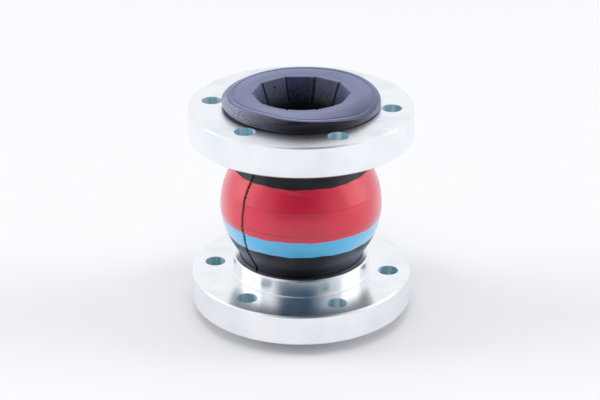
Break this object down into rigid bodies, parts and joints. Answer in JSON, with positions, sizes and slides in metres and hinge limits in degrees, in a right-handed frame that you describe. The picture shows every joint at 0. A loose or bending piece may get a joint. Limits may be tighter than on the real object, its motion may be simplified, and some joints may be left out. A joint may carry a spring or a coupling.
{
  "type": "rubber expansion joint",
  "caption": "Single-arch rubber pipe expansion joint with red and blue bands, rubber sealing collars and a turning steel flange at each end.",
  "frame": {"origin": "centre of the lower sealing face, on the bore's axis", "axes": "+Z along the bore, from the lower to the upper sealing face"},
  "size_m": [0.125, 0.125, 0.132],
  "materials": {
    "zinc_steel": "bright zinc plating",
    "black_rubber": "moulded, satin",
    "liner_rubber": "moulded, satin",
    "red_rubber": "satin",
    "blue_rubber": "satin",
    "cord_fabric": "rubbered cord",
    "bead_wire": "brass-coated wire"
  },
  "bodies": {
    "lower_end": {"lower_sealing_collar": "black_rubber", "lower_bead_core": "bead_wire", "inner_liner": "liner_rubber", "cord_ply_inner": "cord_fabric", "cord_ply_outer": "cord_fabric", "outer_cover": "black_rubber"},
    "lower_swivel": {"lower_flange": "zinc_steel"},
    "lower_belt": {"blue_band": "blue_rubber"},
    "upper_belt": {"red_band": "red_rubber"},
    "upper_end": {"upper_sealing_collar": "black_rubber", "upper_bead_core": "bead_wire"},
    "upper_swivel": {"upper_flange": "zinc_steel"}
  },
  "joints": [
    {"name": "lower_bend", "type": "hinge", "parent": "lower_end", "child": "lower_belt", "pos_m": [0, 0, 0.043], "axis": [0, 1, 0], "range_deg": [-10, 10], "stiffness_Nm_per_rad": 115, "deforming": ["inner_liner", "cord_ply_inner", "cord_ply_outer", "outer_cover", "blue_band", "red_band"]},
    {"name": "axial_travel", "type": "slide", "parent": "lower_belt", "child": "upper_belt", "axis": [0, 0, 1], "range_m": [-0.012, 0.008], "stiffness_N_per_m": 60000, "deforming": ["inner_liner", "cord_ply_inner", "cord_ply_outer", "outer_cover", "blue_band", "red_band"]},
    {"name": "upper_bend", "type": "hinge", "parent": "upper_belt", "child": "upper_end", "pos_m": [0, 0, 0.089], "axis": [0, 1, 0], "range_deg": [-10, 10], "stiffness_Nm_per_rad": 115, "deforming": ["inner_liner", "cord_ply_inner", "cord_ply_outer", "outer_cover", "blue_band", "red_band"]},
    {"name": "upper_flange_swivel", "type": "hinge", "parent": "upper_end", "child": "upper_swivel", "pos_m": [0, 0, 0.116], "axis": [0, 0, 1], "continuous": true},
    {"name": "lower_flange_swivel", "type": "hinge", "parent": "lower_end", "child": "lower_swivel", "pos_m": [0, 0, 0.016], "axis": [0, 0, 1], "continuous": true}
  ]
}
